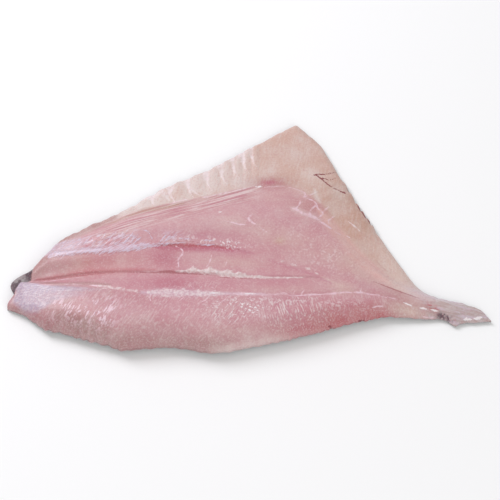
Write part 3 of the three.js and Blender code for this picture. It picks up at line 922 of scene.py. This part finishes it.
def lay_web(s):
    """A web of white tissue at the end of the upper muscle, and bits of tissue along its crown."""
    thick = [(21.9, 9.1, 0.8), (24.6, 8, 2.0), (28.3, 5.4, 2.2), (32.2, 4.4, 2.6), (35.8, 2.2, 1.8)]
    s.tint(SALMON, 0.45 * s.spot(31, 11, 7, 5, -35))
    s.glaze(WHITE, 0.3, [(x, y, 2.2 * width) for x, y, width in thick])
    s.strokes_of("strands", [
        thick,
        [
            (5, 24.4, 0.4), (11.2, 24.2, 0.8), (16.3, 24.6, 0.9), (22.3, 23.7, 0.7), (29.1, 20.8, 1.0),
            (28.7, 17.8, 0.7),
        ],
        [
            (28.7, 17.8, 0.9), (33.3, 15.6, 1.0), (35, 13.7, 1.4), (35.8, 10.5, 1.0), (38.2, 7.9, 1.3),
            (36.2, 4.2, 0.9),
        ],
        [(26.4, 15.8, 0.5), (26.9, 14.1, 1.1), (25.6, 11, 0.7), (24.2, 8.6, 1.2)],
        [(36.7, 1.2, 0.8), (39.2, -0.5, 2.0), (41.8, -2.4, 1.2)],
        [(43.1, -3.5, 0.6), (45, -4.3, 1.2), (47.2, -5.1, 0.6)],
        [(50.3, -5.1, 1.1), (51.7, -5.9, 0.6)],
        [(32.2, 4.4, 1.0), (31.2, 6.9, 1.0), (33.5, 11, 1.2), (35, 13.7, 0.8)],
        [(41.2, 0.4, 0.7), (41.1, 3.5, 0.9), (44.2, 6.7, 1.0), (47.3, 7.8, 0.4)],
        [(38.2, 7.9, 1.0), (40.5, 11.4, 0.9), (43.7, 14.2, 0.4)],
        [(28.7, 17.8, 0.8), (33, 20, 0.7), (35.8, 21.9, 0.8)],
        [(50.8, 4.9, 0.6), (55.1, 1.3, 1.2), (57.2, -1.2, 0.4)],
        [(2.2, 5, 0.6), (0.2, 1, 1.6), (3.4, -1.8, 0.9)],
        [(3.4, -1.8, 0.7), (9, -6, 0.6), (14, -8, 0.3)],
        [(-12, 0.3, 0.4), (-5, -1.8, 1.2), (-0.8, -2.4, 0.5)],
    ], 0.1)
    s.strokes_of("glints", [
        [(3.6, 24.4, 0.6), (5.4, 24.6, 1.3), (7.2, 24.6, 0.6)],
        [(-15.8, 6.2, 0.5), (-14.6, 6.2, 1.0), (-13.2, 6.2, 0.5)],
    ])


def lay_veins(s):
    """Veins on the belly flap, the dark edge of the skin beyond it, and two clots on the near side."""
    skin_edge = ((56, 0.4), (58.5, 1.1), (61, 0.8), (64, 1.1))
    s.strokes_of("veins", [
        [(x, float(belly_edge(x)) - 0.5, width) for x, width in skin_edge],
        [(39, -56, 0.5), (40.3, -55.6, 0.9)],
        [(54, -52.2, 0.5), (56, -51.9, 1.0), (57, -51.8, 0.5)],
        [(34.6, 33.2, 1.2), (37, 33.8, 1.2), (41, 34.2, 0.9), (46.4, 36.3, 1.0)],
        [(35.6, 33.2, 1.0), (38.5, 30.6, 1.0), (42.9, 26.5, 0.9), (48, 23.7, 0.9), (50.4, 22.9, 1.6)],
        [(38.6, 31.5, 0.8), (42.9, 30.6, 0.8), (46.1, 32.2, 0.7)],
    ])


def lay_tail_strands(s):
    """The dark line along the tail, which is painted shade, and short white strands and glints towards its
    tip.
    """
    # painted shade: the dark line along the tail
    s.stroke("slit_shades", [(62, -32.6, 0.3), (70, -35.4, 0.9), (78, -38.2, 0.7), (85, -40.6, 0.2)])
    s.strokes_of("strands", [
        [(62.1, -39.7, 0.4), (63.6, -39.6, 0.9), (65.1, -39.9, 0.4)],
        [(68.5, -40.4, 0.4), (71.5, -41.2, 1.1), (73.8, -41.4, 0.3)],
        [(86, -49.2, 0.4), (88.8, -49.5, 0.8), (91.4, -49.5, 0.4)],
    ])
    s.strokes_of("glints", [
        [(76.5, -43.1, 0.4), (79, -44, 1.2), (81, -44.8, 0.4)],
        [(84.5, -45.4, 0.4), (86.4, -45.6, 1.1), (88.2, -46, 0.4)],
        [(90, -46.1, 0.4), (92, -46.5, 1.2), (93.9, -46.6, 0.4)],
        [(106, -50.6, 0.4), (108, -50.2, 1.6), (110, -50.4, 0.8)],
        [(111.4, -49.9, 0.7), (113.2, -49.7, 1.8), (115.4, -49.4, 0.5)],
    ])


def lay_flecks(s):
    """How thickly the flesh is flecked with white fibres: leaning ones, steep ones, and crumb-like specks
    that are partly white tissue and partly painted sparkles.
    """
    loin = falling(s.above("backbone_seam"), -2, -0.5)
    toward_tail = smoothstep(s.x, -4, 12)
    on_loin = loin * (1 - toward_tail) * np.maximum(s.spot(-8, -52, 15, 8), 0.35)
    s.masks["leaning"] = np.maximum(on_loin, 0.6 * s.spot(-22, -37, 14, 2.5))
    s.masks["steep"] = loin * toward_tail * np.maximum(s.spot(20, -50, 24, 11), 0.3)
    # partly painted highlight: where the bright crumb-like specks stand for sparkles of the wet flesh
    s.masks["crumbs_and_sparkles"] = np.minimum(1, 0.06 + s.sum_of([
        (1.2, -13, -12.4, 11, 2.4, -6),
        (0.3, 38, -17, 22, 10, -30),
        (0.5, 34, -46, 24, 3, -2),
        (1.2, -4, -50.5, 14, 6),
        (0.4, -34, -10, 10, 3),
    ]))


def lay_loin_sheens(s):
    """The sheen at the head of the loin, partly pale tissue and partly a painted highlight, and the bright
    scale-like patches beyond it, which are painted highlights.
    """
    near_limit = through([
        (-120, -40.5), (-115, -44), (-110, -48), (-104, -49.5), (-99, -47.5), (-94, -45), (-84, -42.5),
        (-70, -41),
    ])(s.x)
    upper_limit = through([(-116, -28), (-108, -31.8), (-100, -34.8), (-88, -36.2), (-70, -38)])(s.x)
    fade = falling(s.x + 9 * s.grain(16, 1.2, -3, 51), -100, -72)
    across = smoothstep(s.y - near_limit, -1.5, 2.5) * falling(s.y - upper_limit, -1, 0.6)
    # partly painted highlight: the sheen at the head of the loin, over pale tissue
    s.masks["milky_sheen"] = fade * across * smoothstep(s.x, -120, -116)
    s.tint(MILKY_SHEEN, 0.85 * s.masks["milky_sheen"])
    s.tint(MAUVE, 0.3 * s.spot(-99, -42.5, 10, 3.5, -6))
    # painted highlights: bright patches where the ridges of the muscle catch the light
    scaly_highlights = s.sum_of([
        (1.2, -92, -48.5, 6, 5, -20), (1.3, -81, -50, 5, 6, -25), (1.4, -70, -52, 7, 8, -25),
    ])
    for gap in (
        [(-88, -57, 1), (-84.5, -51, 1.4), (-82, -46, 1)],
        [(-80, -58, 1.4), (-76, -52.5, 1.8), (-73, -47, 1)],
    ):
        scaly_highlights *= smoothstep(s.share_of(gap), 0.4, 1.3)
    s.masks["scaly_highlights"] = np.minimum(scaly_highlights, 1)


def lay_head_skin(s):
    """The flap of skin that runs on past the flesh at the head cut."""
    skin = smoothstep(s.y - flesh_belly_edge(s.x), -0.6, 0.2) * (s.x < HEAD_CUT_END)
    ends = s.spot(-118, -33, 2.2, 3.4) + s.spot(-110.5, -26, 2.4, 3.4)
    silver = smoothstep(noise(s.x, s.y, 1.8, 80), -0.3, 0.4) * np.clip(1 - ends, 0, 1)
    s.tint(SKIN_DARK, skin)
    s.tint(SKIN_SILVER, 0.8 * skin * silver)
    s.masks["milky_sheen"] *= 1 - skin


LAYERS = [
    paint_muscle, paint_flap, paint_fold, paint_tail, lay_myosepta, lay_tendons, lay_cleft, lay_seam,
    lay_rib_ridge, lay_rib_overhang, lay_rib_flank, lay_web, lay_veins, lay_tail_strands, lay_flecks,
    lay_loin_sheens, lay_head_skin,
]


def dress(x, y):
    surface = Surface(x, y)
    for lay in LAYERS:
        lay(surface)
    return surface


# ---------------------------------------------------------------- materials


class Graph:
    """A material whose nodes are added by short calls. A value is a number, a colour or a socket."""

    def __init__(self, name):
        self.material = bpy.data.materials.new(name)
        self.material.use_nodes = True
        self.nodes = self.material.node_tree.nodes
        self.shader = self.nodes["Principled BSDF"]
        self.coordinates = self.nodes.new("ShaderNodeTexCoord").outputs["Object"]

    def feed(self, socket, value):
        if isinstance(value, bpy.types.NodeSocket):
            self.material.node_tree.links.new(value, socket)
        elif isinstance(value, np.ndarray):
            socket.default_value = (*value, 1)
        else:
            socket.default_value = value

    def attribute(self, name, output="Fac"):
        node = self.nodes.new("ShaderNodeAttribute")
        node.attribute_name = name
        return node.outputs[output]

    def math(self, operation, *values):
        node = self.nodes.new("ShaderNodeMath")
        node.operation = operation
        for socket, value in zip(node.inputs, values):
            self.feed(socket, value)
        return node.outputs[0]

    def times(self, *values):
        product = values[0]
        for value in values[1:]:
            product = self.math("MULTIPLY", product, value)
        return product

    def sum(self, *values):
        total = values[0]
        for value in values[1:]:
            total = self.math("ADD", total, value)
        return total

    def mix(self, amount, a, b):
        node = self.nodes.new("ShaderNodeMix")
        node.data_type = "RGBA"
        self.feed(node.inputs[0], amount)
        self.feed(node.inputs[6], a)
        self.feed(node.inputs[7], b)
        return node.outputs[2]

    def ramp(self, value, low, high, to_low=0.0, to_high=1.0):
        node = self.nodes.new("ShaderNodeMapRange")
        node.interpolation_type = "SMOOTHSTEP"
        for socket, number in zip(node.inputs, (value, low, high, to_low, to_high)):
            self.feed(socket, number)
        return node.outputs[0]

    def placed(self, length, width, lean):
        """Coordinates that grow by 1 over a length and a width in mm, turned by a lean in degrees."""
        place = self.nodes.new("ShaderNodeMapping")
        place.vector_type = "TEXTURE"
        place.inputs["Rotation"].default_value = (0, 0, math.radians(lean))
        place.inputs["Scale"].default_value = (length * MM, width * MM, width * MM)
        self.feed(place.inputs["Vector"], self.coordinates)
        return place.outputs[0]

    def noise(self, length, width=None, lean=0, detail=2.0):
        """Noise whose bumps have a length and a width in mm, turned by a lean in degrees."""
        texture = self.nodes.new("ShaderNodeTexNoise")
        texture.inputs["Scale"].default_value = 1
        texture.inputs["Detail"].default_value = detail
        self.feed(texture.inputs["Vector"], self.placed(length, width or length, lean))
        return texture.outputs[0]

    def cell_sides(self, length, width):
        """How far a place is from the sides of cells that have a length and a width in mm."""
        texture = self.nodes.new("ShaderNodeTexVoronoi")
        texture.feature = "DISTANCE_TO_EDGE"
        texture.inputs["Scale"].default_value = 1
        self.feed(texture.inputs["Vector"], self.placed(length, width, 0))
        return texture.outputs["Distance"]

    def y_across(self):
        """The y of a place, in metres."""
        parts = self.nodes.new("ShaderNodeSeparateXYZ")
        self.feed(parts.inputs[0], self.coordinates)
        return parts.outputs["Y"]

    def pattern(self, colour, mask, texture, span, strength, tint):
        """Lays a tint where a mask is on and a noise rises over a span; gives the colour and the shape."""
        shape = self.times(mask, self.ramp(texture, *span))
        return self.mix(self.times(shape, strength), colour, tint), shape

    def drawn(self, kind, ragged, rough_noise, soft=0.6):
        """1 on the strokes of a kind, with sides as ragged as the noise makes them."""
        rough = self.times(self.math("SUBTRACT", rough_noise, 0.5), ragged)
        return self.ramp(self.sum(self.attribute(kind), rough), 1.1, 1.1 - soft)

    def bump(self, height, distance_mm):
        node = self.nodes.new("ShaderNodeBump")
        node.inputs["Distance"].default_value = distance_mm * MM
        self.feed(node.inputs["Height"], height)
        self.feed(self.shader.inputs["Normal"], node.outputs[0])

    def set(self, **values):
        for name, value in values.items():
            self.feed(self.shader.inputs[name.replace("_", " ")], value)


def add_mottle(g, colour):
    """Fine grains of lighter and darker flesh."""
    mottle = g.noise(0.9, detail=4.0)
    colour = g.mix(g.ramp(mottle, 0.5, 0.72, 0, 0.2), colour, WHITE)
    colour = g.mix(g.ramp(mottle, 0.5, 0.28, 0, 0.3), colour, ROSE)
    return colour, mottle


def add_flecks(g, colour):
    """White fibres that lean or stand steep, with darker flesh between them, and clusters of crumb-like
    specks, partly white tissue and partly painted sparkles.
    """
    leaning, steep = g.attribute("leaning"), g.attribute("steep")
    flecks = g.sum(
        g.times(leaning, g.ramp(g.noise(3.4, 0.7, 57, 3.0), 0.54, 0.62)),
        g.times(steep, g.ramp(g.noise(7.0, 0.7, 105, 3.0), 0.53, 0.61)),
    )
    clustered = g.times(g.attribute("crumbs_and_sparkles"), g.ramp(g.noise(4.0, detail=1.0), 0.36, 0.52))
    between_them = g.noise(4.0, 0.8, 75, 3.0)
    colour, _ = g.pattern(colour, g.sum(leaning, steep), between_them, (0.47, 0.38), 0.5, ROSE)
    colour = g.mix(g.times(flecks, 0.7), colour, WHITE)
    # partly painted highlight: bright crumb-like specks, partly sparkles
    colour, crumbs_and_sparkles = g.pattern(colour, clustered, g.noise(1.1, detail=4.0), (0.54, 0.59), 0.7, BRIGHT)
    return colour, g.sum(flecks, crumbs_and_sparkles)


def add_sheens(g, colour):
    """Torn lilac strands, and the painted highlights: the milk-white sheen at the head of the loin, which
    is partly pale tissue, and its scale-like patches.
    """
    crossing = g.math("MAXIMUM", g.noise(6.0, 0.9, 26, 3.0), g.noise(4.0, 0.8, 52, 3.0))
    grains = g.noise(3.0, 0.8, -3, 5.0)
    fibres = g.noise(4.0, 0.9, 60, 3.0)
    scaly_highlights = g.times(g.attribute("scaly_highlights"), g.ramp(g.noise(5.0, 3.0, 57, 1.0), 0.44, 0.52))
    colour, strands = g.pattern(colour, g.attribute("torn"), crossing, (0.53, 0.6), 0.75, LILAC)
    colour, grain = g.pattern(colour, g.attribute("milky_sheen"), grains, (0.46, 0.56), 0.3, WHITE)
    # painted highlights: the bright scale-like patches
    colour, scale_highlights = g.pattern(colour, scaly_highlights, fibres, (0.47, 0.54), 0.9, PEARL)
    return colour, g.sum(strands, grain, scale_highlights)


def add_stripes(g, colour):
    """The tendons along the fold, the rays of the fin and the threads of the flap."""
    tendons, streaks = g.attribute("tendons"), g.noise(26.0, 1.1, 19, 2.0)
    colour, light = g.pattern(colour, tendons, streaks, (0.52, 0.62), 0.5, WHITE)
    colour, dark = g.pattern(colour, tendons, streaks, (0.48, 0.38), 0.6, ROSE)
    fin, rays = g.attribute("rays"), g.noise(18.0, 1.3, -14, 3.0)
    colour, _ = g.pattern(colour, fin, rays, (0.52, 0.62), 0.5, LILAC)
    colour, _ = g.pattern(colour, fin, rays, (0.48, 0.38), 0.35, UMBER)
    flap, threads = g.attribute("streaky"), g.noise(6.0, 0.9, 78, 4.0)
    colour, _ = g.pattern(colour, flap, threads, (0.52, 0.66), 0.3, CLEAR_WHITE)
    colour, _ = g.pattern(colour, flap, threads, (0.48, 0.34), 0.35, TAN)
    return colour, g.sum(light, g.times(dark, -1))


def add_strokes(g, colour):
    """Every kind of stroke, with ragged sides and a broken tone."""
    ridge = g.drawn("ridge", 4.5, g.noise(4.5, 0.7, 33, 3.0), 0.4)
    slit_shades = g.drawn("slit_shades", 1.0, g.noise(0.9), 0.9)
    tissue = g.drawn("tissue", 3.6, g.noise(2.2, 1.4, 0, 5.0), 0.35)
    strands = g.drawn("strands", 2.2, g.noise(1.6, detail=4.0))
    glints = g.drawn("glints", 2.6, g.noise(1.2, 0.8, detail=3.0))
    veins = g.drawn("veins", 1.4, g.noise(0.9, detail=3.0))
    # partly painted highlight: the lilac of the rib ridge
    colour = g.mix(g.times(ridge, g.ramp(g.noise(4, 0.6, 33), 0.36, 0.56, 0.35, 0.95)), colour, LILAC)
    # painted shade: the dark lines of the slits and creases
    colour = g.mix(g.times(slit_shades, 0.6), colour, SLIT_SHADE)
    colour = g.mix(g.times(tissue, g.ramp(g.noise(1.4, detail=4.0), 0.36, 0.62, 0.1, 0.65)), colour, WHITE)
    strand_colour = g.mix(g.attribute("streaky"), PEARL, WHITE)
    colour = g.mix(g.times(strands, g.ramp(g.noise(2.2), 0.35, 0.6, 0.3, 0.85)), colour, strand_colour)
    colour = g.mix(g.times(glints, 0.75), colour, BRIGHT)
    colour = g.mix(g.times(veins, 0.9), colour, VEIN)
    return colour, g.sum(g.times(tissue, g.noise(1.0)), glints, g.times(ridge, 0.6)), glints


def flesh_material():
    g = Graph("raw_flesh")
    colour, mottle = add_mottle(g, g.attribute("painted", "Color"))
    colour, flecks = add_flecks(g, colour)
    colour, sheens = add_sheens(g, colour)
    colour, stripes = add_stripes(g, colour)
    colour, raised, glints = add_strokes(g, colour)
    g.bump(g.sum(g.times(mottle, 0.4), g.times(g.sum(flecks, sheens, stripes), 0.7), raised), 0.12)
    g.set(
        Base_Color=colour,
        Roughness=g.ramp(glints, 0, 1, g.attribute("roughness"), 0.15),
        Subsurface_Weight=0.12,
        Subsurface_Radius=(0.8, 0.5, 0.45),
        Subsurface_Scale=0.0011,
        Coat_Weight=0.2,
        Coat_Roughness=0.15,
    )
    return g.material


def skin_material():
    """Silvery skin with fine scales, darker towards the back and softly blotched."""
    g = Graph("fish_skin")
    wandering = g.times(g.noise(26.0, 12.0), 0.03)
    towards_back = g.ramp(g.sum(g.y_across(), wandering), 0.045, -0.03)
    blotches = g.ramp(g.noise(9.0, 5.0, 0, 3.0), 0.4, 0.62)
    scale_sides = g.cell_sides(1.5, 1.2)
    colour = g.mix(towards_back, SKIN_SILVER, SKIN_BACK)
    colour = g.mix(g.times(blotches, 0.4), colour, SKIN_DARK)
    colour = g.mix(g.ramp(scale_sides, 0.12, 0.02, 0, 0.35), colour, SKIN_DARK)
    g.bump(g.ramp(scale_sides, 0.0, 0.3), 0.08)
    g.set(Base_Color=colour, Roughness=0.3, Metallic=0.35, Coat_Weight=0.3, Coat_Roughness=0.15)
    return g.material


# ---------------------------------------------------------------- the fillet


def add_object(name, data):
    added = bpy.data.objects.new(name, data)
    bpy.context.scene.collection.objects.link(added)
    return added


def store(mesh, name, values, rest):
    """Keeps numbers or colours for the points of the upper side, and rest for all the others."""
    colours = values.ndim == 2
    full = np.empty((len(mesh.vertices), 4 if colours else 1))
    full[:] = (*rest, 1) if colours else rest
    full[:len(values), :3] = values if colours else values[:, None]
    kind, field = ("FLOAT_COLOR", "color") if colours else ("FLOAT", "value")
    mesh.attributes.new(name, kind, "POINT").data.foreach_set(field, full.ravel())


def make_fillet():
    mesh, dressed = build_mesh()
    store(mesh, "painted", dressed.colour, MAUVE)
    store(mesh, "roughness", dressed.rough, REST_ROUGHNESS)
    for kind, shares in dressed.strokes.items():
        store(mesh, kind, shares, FAR)
    for name, mask in dressed.masks.items():
        store(mesh, name, mask, 0)
    mesh.materials.append(flesh_material())
    mesh.materials.append(skin_material())
    fillet = add_object("fillet_flesh", mesh)
    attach(fillet, "root")
    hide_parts(NODE)


# ---------------------------------------------------------------- studio

CAMERA_TARGET = (0.000745, -0.008898, 0.0)
CAMERA_DISTANCE = 0.60473
CAMERA_ELEVATION = math.radians(60)
CAMERA_LENS = 85
FLOOR_HALF_SIZE = 4.0
FLOOR_HEIGHT = -0.0004  # just under the fillet's flat underside
FLOOR_COLOUR = (0.93, 0.93, 0.93, 1)
FLOOR_ROUGHNESS = 0.9
WORLD_STRENGTH = 0.55
LIGHTS = [  # name, direction, distance, size, power, colour
    ("key", (-0.56, 0.5, 0.66), 1.2, 0.6, 9, (0.96, 0.95, 1.0)),
    ("fill", (0.35, -0.75, 0.55), 1.5, 1.2, 6, (1.0, 0.99, 0.97)),
]


def make_camera():
    data = bpy.data.cameras.new("camera")
    data.lens = CAMERA_LENS
    camera = add_object("camera", data)
    x, y, z = CAMERA_TARGET
    camera.location = (
        x,
        y - CAMERA_DISTANCE * math.cos(CAMERA_ELEVATION),
        z + CAMERA_DISTANCE * math.sin(CAMERA_ELEVATION),
    )
    camera.rotation_euler = (math.pi / 2 - CAMERA_ELEVATION, 0, 0)
    bpy.context.scene.camera = camera


def make_light(name, direction, distance, size, power, colour):
    data = bpy.data.lights.new(name, "AREA")
    data.shape = "DISK"
    data.size = size
    data.energy = power
    data.color = colour
    light = add_object(name, data)
    towards = Vector(direction).normalized()
    light.location = towards * distance
    light.rotation_euler = towards.to_track_quat("Z", "Y").to_euler()


def make_floor():
    mesh = bpy.data.meshes.new("floor")
    half = FLOOR_HALF_SIZE
    corners = [(-half, -half, 0), (half, -half, 0), (half, half, 0), (-half, half, 0)]
    mesh.from_pydata(corners, [], [(0, 1, 2, 3)])
    material = bpy.data.materials.new("floor")
    material.use_nodes = True
    shader = material.node_tree.nodes["Principled BSDF"]
    shader.inputs["Base Color"].default_value = FLOOR_COLOUR
    shader.inputs["Roughness"].default_value = FLOOR_ROUGHNESS
    mesh.materials.append(material)
    floor = add_object("floor", mesh)
    floor.location = (0, 0, FLOOR_HEIGHT)


def make_world():
    world = bpy.data.worlds.new("studio")
    world.use_nodes = True
    background = world.node_tree.nodes["Background"]
    background.inputs["Color"].default_value = (1, 1, 1, 1)
    background.inputs["Strength"].default_value = WORLD_STRENGTH
    bpy.context.scene.world = world


def make_studio():
    make_camera()
    make_floor()
    make_world()
    for light in LIGHTS:
        make_light(*light)
    bpy.context.scene.view_settings.view_transform = "Standard"


make_studio()
make_fillet()
